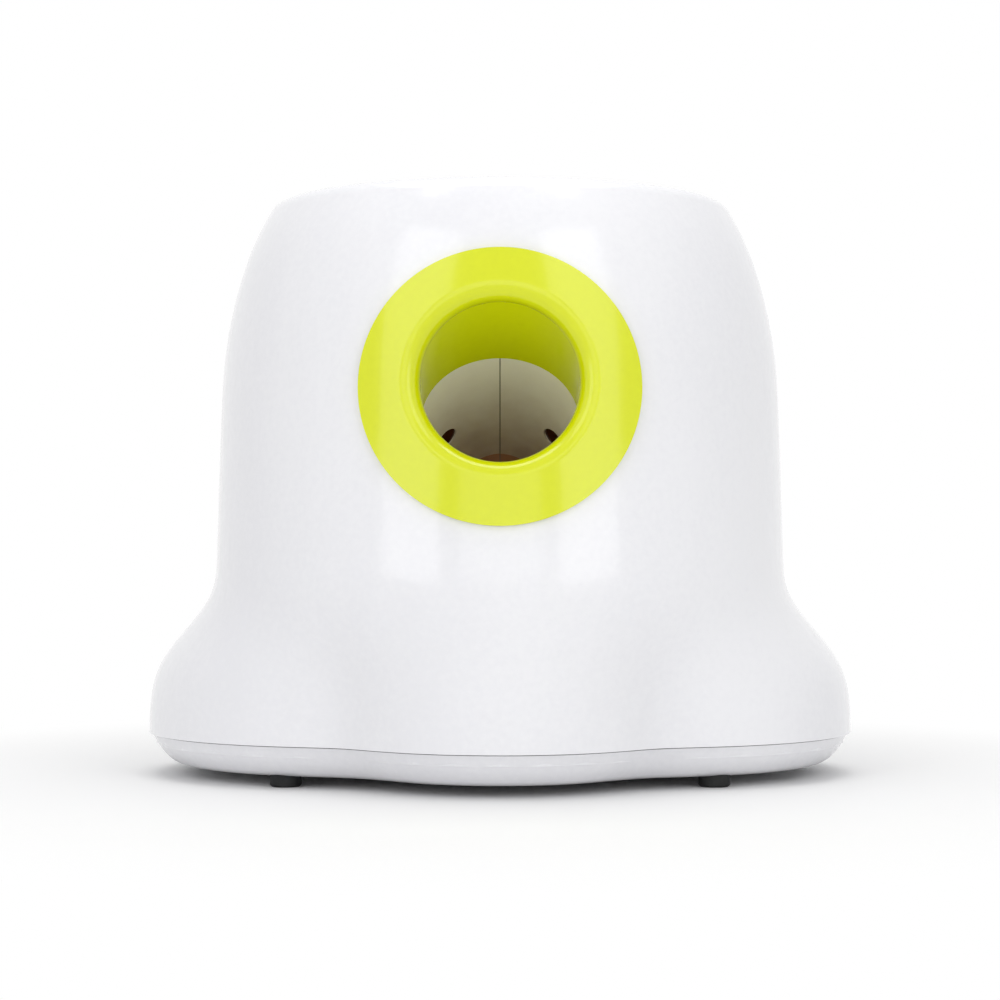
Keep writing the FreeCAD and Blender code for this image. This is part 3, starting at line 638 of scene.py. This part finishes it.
FINISHES: Dict[str, Any] = {
    "body": Gloss(linear(240, 240, 243), linear(234, 234, 238)),
    "tray": Gloss(linear(236, 236, 239), linear(229, 229, 233), 0.2),
    "bowl": Gloss(linear(238, 238, 241), linear(232, 232, 236), 0.18),
    "ring": Gloss(linear(219, 227, 4), linear(214, 222, 1), 0.16, 0.00001),
    # the barrel's second colour is painted shade, darkening the bore away from its mouth
    "barrel": Deepening(linear(248, 244, 230), linear(150, 104, 58), MOUTH, (0.0, 0.8387, -0.5446), 0.12),
    "ir_glass": Clear(linear(70, 22, 10), 0.1, 0.3),
    "circuit_board": Laminate(linear(12, 78, 44), linear(24, 112, 62)),
    "gear_plastic": Satin(linear(232, 228, 214), linear(222, 217, 200), 0.4),
    "pad_rubber": Rubber(linear(30, 30, 32), linear(48, 47, 46)),
    "spring_steel": Metal(linear(176, 176, 180), linear(150, 146, 140), 0.26),
    "pin_steel": Metal(linear(200, 200, 204), linear(176, 174, 172), 0.18),
    "frame_plastic": Satin(linear(52, 53, 56), linear(42, 43, 46), 0.5),
    "motor_can": Metal(linear(170, 171, 174), linear(146, 144, 140), 0.32),
    "brass_pinion": Metal(linear(212, 178, 104), linear(186, 148, 82), 0.24),
    "component_black": Satin(linear(34, 34, 37), linear(26, 26, 28), 0.5),
    "panel": Satin(linear(150, 152, 155), linear(141, 143, 147), 0.42),
    "button": Rubber(linear(214, 221, 36), linear(206, 212, 42)),
    "lens": Clear(linear(226, 236, 228), 0.12, 0.8),
    "inlet_black": Satin(linear(28, 28, 30), linear(22, 22, 24), 0.4),
    "cell_jacket": Jacket(linear(36, 58, 92), linear(150, 154, 160)),
    "contact_metal": Metal(linear(196, 190, 178), linear(168, 160, 146), 0.24),
    "foot_rubber": Rubber(linear(26, 28, 28), linear(40, 41, 40)),
    "screw_steel": Metal(linear(168, 168, 172), linear(140, 138, 134), 0.3),
}


@dataclass
class Finisher:
    """Gives each CAD node the finish of its slot."""

    frame: Dict[str, Any]
    made: Dict[str, Any] = field(default_factory=dict)

    def material(self, slot: str) -> Any:
        """The material of a slot, made on first use.

        Args:
            slot: the record's material slot.

        Returns:
            The Blender material.
        """
        if slot not in self.made:
            self.made[slot] = FINISHES[slot].material("finish_" + slot)
            log.info("finish %s", slot)
        return self.made[slot]

    def dress(self, nodes: Sequence[str]) -> None:
        """Puts the finishes on CAD nodes.

        Args:
            nodes: names of the nodes.
        """
        slots = {entry["node"]: entry["material_slot"] for entry in self.frame["record"]["subparts"]}
        for node in nodes:
            shown = self.frame["nodes"][node]
            for place in shown.material_slots:
                place.material = self.material(slots[node])
            log.info("dressed %s", node)


def shown(name: str, vertices: Sequence[Vector], faces: Sequence[Sequence[int]]) -> Any:
    """Makes a smooth mesh object.

    Args:
        name: name of the piece.
        vertices: its points, in metres.
        faces: its faces as point numbers.

    Returns:
        The Blender object.
    """
    mesh = bpy.data.meshes.new(name)
    mesh.from_pydata([tuple(v) for v in vertices], [], [tuple(f) for f in faces])
    mesh.update()
    for polygon in mesh.polygons:
        polygon.use_smooth = True
    made = bpy.data.objects.new(name, mesh)
    bpy.context.scene.collection.objects.link(made)
    log.info("piece %s with %d points", name, len(mesh.vertices))
    return made


@dataclass
class Assembly:
    """A group of CAD nodes that are dressed together."""

    nodes: Tuple[str, ...] = ()

    def dress(self, finisher: Finisher) -> None:
        """Puts on the finishes.

        Args:
            finisher: gives the finishes.
        """
        finisher.dress(self.nodes)


@dataclass
class Casing(Assembly):
    """Body shell, tray, funnel, launch ring and feet."""

    nodes: Tuple[str, ...] = (
        "upper_housing",
        "lower_housing",
        "hopper_bowl",
        "launch_ring",
        "battery_door",
        "rubber_feet",
        "housing_screws",
    )


@dataclass
class Barrel(Assembly):
    """The two barrel halves with their sensor windows."""

    nodes: Tuple[str, ...] = (
        "barrel_left",
        "barrel_right",
        "ir_window_left",
        "ir_window_right",
        "sensor_board_left",
        "sensor_board_right",
        "barrel_screws",
    )


@dataclass
class Drive(Assembly):
    """Striker, its spring and the gear train with its motor."""

    mouth: Tuple[float, float, float] = MOUTH
    tilt: float = TILT
    spring_start: float = 0.1472
    spring_end: float = 0.1998
    spring_radius: float = 0.0109
    wire: float = 0.0011
    turns: int = 9
    steps: int = 40
    sides: int = 12
    end_pitch: float = 0.4
    pressed: float = 0.506
    nodes: Tuple[str, ...] = (
        "striker",
        "striker_pad",
        "guide_rod",
        "spring_bracket",
        "gearbox_frame",
        "gearbox_cover",
        "sector_gear",
        "second_gear",
        "first_gear",
        "gear_axles",
        "motor",
        "motor_shaft",
        "motor_pinion",
        "gearbox_screws",
    )

    def along(self, distance: float) -> Vector:
        """Point on the barrel's axis.

        Args:
            distance: distance from the barrel's mouth.

        Returns:
            The point.
        """
        return Vector(self.mouth) + self.heading() * distance

    def heading(self) -> Vector:
        """Direction from the mouth to the back.

        Returns:
            The unit vector.
        """
        return Vector((0.0, math.cos(self.tilt), -math.sin(self.tilt)))

    def eased(self, share: float) -> float:
        """Share of the spring's length at a share of its turns, with its end turns drawn close.

        Args:
            share: share of the turns, from 0 to 1.

        Returns:
            The share of the length.
        """
        closed = min(1.0, share * self.turns) * min(1.0, (1 - share) * self.turns)
        if closed >= 1:
            return share
        slack = self.end_pitch + (1 - self.end_pitch) * closed
        return share * slack if share < 0.5 else 1 - (1 - share) * slack

    def coil_path(self) -> List[Vector]:
        """Points along the middle of the wire.

        Returns:
            The points, from the striker to the bracket.
        """
        across = Vector((1.0, 0.0, 0.0))
        above = self.heading().cross(across)
        count = self.turns * self.steps
        first = self.spring_start + self.wire
        length = self.spring_end - self.spring_start - 2 * self.wire
        path: List[Vector] = []
        for i in range(count + 1):
            share = i / count
            angle = 2 * math.pi * self.turns * share
            spoke = across * math.cos(angle) + above * math.sin(angle)
            path.append(self.along(first + length * self.eased(share)) + spoke * self.spring_radius)
        return path

    def wire_skin(self, path: List[Vector]) -> Tuple[List[Vector], List[List[int]]]:
        """Round skin of the wire along a path.

        Args:
            path: points along the middle of the wire.

        Returns:
            The points and faces of the skin.
        """
        ahead = self.heading()
        last = len(path) - 1
        vertices: List[Vector] = []
        for i, point in enumerate(path):
            run = (path[min(last, i + 1)] - path[max(0, i - 1)]).normalized()
            centre = self.along((point - Vector(self.mouth)).dot(ahead))
            out = (point - centre).normalized()
            side = run.cross(out)
            for k in range(self.sides):
                turn = 2 * math.pi * k / self.sides
                vertices.append(point + (out * math.cos(turn) + side * math.sin(turn)) * self.wire)
        faces: List[List[int]] = []
        for i in range(last):
            for k in range(self.sides):
                a = i * self.sides + k
                b = i * self.sides + (k + 1) % self.sides
                faces.append([a, b, b + self.sides, a + self.sides])
        faces.append(list(range(self.sides))[::-1])
        faces.append([last * self.sides + k for k in range(self.sides)])
        return vertices, faces

    def build(self, finisher: Finisher) -> None:
        """Winds the launch spring in place of the plain tube.

        Args:
            finisher: gives the finishes.
        """
        coil = shown("launch_spring_coil", *self.wire_skin(self.coil_path()))
        coil.data.materials.append(finisher.material("spring_steel"))
        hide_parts("launch_spring")
        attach(coil, "casing")
        anchor = self.along(self.spring_end)
        tuple(self.heading())
        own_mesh(coil)


@dataclass
class Electrics(Assembly):
    """Boards, controls, cells and the power inlet."""

    nodes: Tuple[str, ...] = (
        "main_board",
        "board_components",
        "beeper",
        "control_panel",
        "control_board",
        "button_switches",
        "power_button",
        "distance_button",
        "indicator_lenses",
        "power_inlet",
        "battery_cells",
        "battery_contacts",
        "board_screws",
    )


@dataclass(frozen=True)
class Lamp:
    """One rectangular soft lamp aimed at a point."""

    name: str
    place: Tuple[float, float, float]
    target: Tuple[float, float, float]
    width: float
    height: float
    power: float
    colour: Colour = (1.0, 1.0, 1.0)

    def build(self) -> None:
        """Adds the lamp."""
        data = bpy.data.lights.new(self.name, "AREA")
        data.shape = "RECTANGLE"
        data.size = self.width
        data.size_y = self.height
        data.energy = self.power
        data.color = self.colour
        lamp = bpy.data.objects.new(self.name, data)
        lamp.location = self.place
        aim = Vector(self.target) - Vector(self.place)
        lamp.rotation_euler = aim.to_track_quat("-Z", "Y").to_euler()
        bpy.context.scene.collection.objects.link(lamp)
        log.info("lamp %s", self.name)


@dataclass
class Studio:
    """White sweep, soft lamps and the camera."""

    eye: Tuple[float, float, float] = (0.0, -1.0, 0.095)
    lens: float = 90.1
    shift: float = 0.035
    backdrop: float = 1.0
    fill: float = 0.44
    floor_reach: float = 6.0
    shadow_reach: float = 0.34
    lamps: Tuple[Lamp, ...] = (
        Lamp("left_box", (-0.85, -1.25, 0.75), (0.0, 0.0, 0.12), 0.7, 1.5, 4.8),
        Lamp("right_box", (0.85, -1.25, 0.75), (0.0, 0.0, 0.12), 0.7, 1.5, 4.8),
        Lamp("front_box", (0.0, -1.6, 0.5), (0.0, 0.0, 0.12), 0.9, 0.8, 1.9),
        Lamp("top_box", (0.0, 0.0, 1.6), (0.0, 0.0, 0.0), 1.4, 1.2, 13.0),
    )

    def build(self) -> None:
        """Sets up floor, world, lamps, camera and display."""
        self.floor()
        self.world()
        for lamp in self.lamps:
            lamp.build()
        self.camera()
        scene = bpy.context.scene
        scene.view_settings.view_transform = "Standard"

    def floor(self) -> None:
        """Adds the plain pale floor, which goes over into the white backdrop for the camera."""
        reach = self.floor_reach
        around = ((-reach, -reach), (reach, -reach), (reach, reach), (-reach, reach))
        corners = [Vector((x, y, 0.0)) for x, y in around]
        floor = shown("studio_floor", corners, [[0, 1, 2, 3]])
        graph = Graph("studio_floor")
        graph.set(Base_Color=(0.9, 0.9, 0.9), Roughness=0.6, Specular_IOR_Level=0.2)
        white = graph.node("ShaderNodeEmission", {"Color": (1.0, 1.0, 1.0)})
        seen = graph.seen()
        away = graph.place().length().between(self.shadow_reach * 0.45, self.shadow_reach)
        pale = Wire(graph, graph.shader.outputs[0])
        blend = graph.node("ShaderNodeMixShader", [away * seen, pale, white])
        graph.tree.links.new(blend.socket, graph.exit.inputs[0])
        floor.data.materials.append(graph.material)

    def world(self) -> None:
        """Makes the backdrop white to look at and grey as a light."""
        world = bpy.data.worlds.new("studio")
        world.use_nodes = True
        graph = Graph("studio", world.node_tree)
        white = graph.node("ShaderNodeBackground", {"Color": (1.0, 1.0, 1.0), "Strength": self.backdrop})
        grey = graph.node("ShaderNodeBackground", {"Color": (1.0, 1.0, 1.0), "Strength": self.fill})
        blend = graph.node("ShaderNodeMixShader", [graph.seen(), grey, white])
        graph.tree.links.new(blend.socket, graph.exit.inputs[0])
        bpy.context.scene.world = world
        log.info("world set")

    def camera(self) -> None:
        """Places the camera level, a metre ahead and low, as in the photograph."""
        data = bpy.data.cameras.new("camera")
        data.lens = self.lens
        data.sensor_width = 36.0
        data.shift_y = self.shift
        data.clip_start = 0.01
        data.clip_end = 60.0
        camera = bpy.data.objects.new("camera", data)
        camera.location = self.eye
        camera.rotation_euler = (math.radians(90.0), 0.0, 0.0)
        bpy.context.scene.collection.objects.link(camera)
        bpy.context.scene.camera = camera
        log.info("camera set")


def main() -> None:
    """Builds and dresses the launcher and its studio."""
    logging.basicConfig(level=logging.INFO, format="%(message)s")
    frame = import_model()
    finisher = Finisher(frame)
    drive = Drive()
    drive.build(finisher)
    for assembly in (Casing(), Barrel(), drive, Electrics()):
        assembly.dress(finisher)
    Studio().build()


if __name__ == "__main__":
    main()
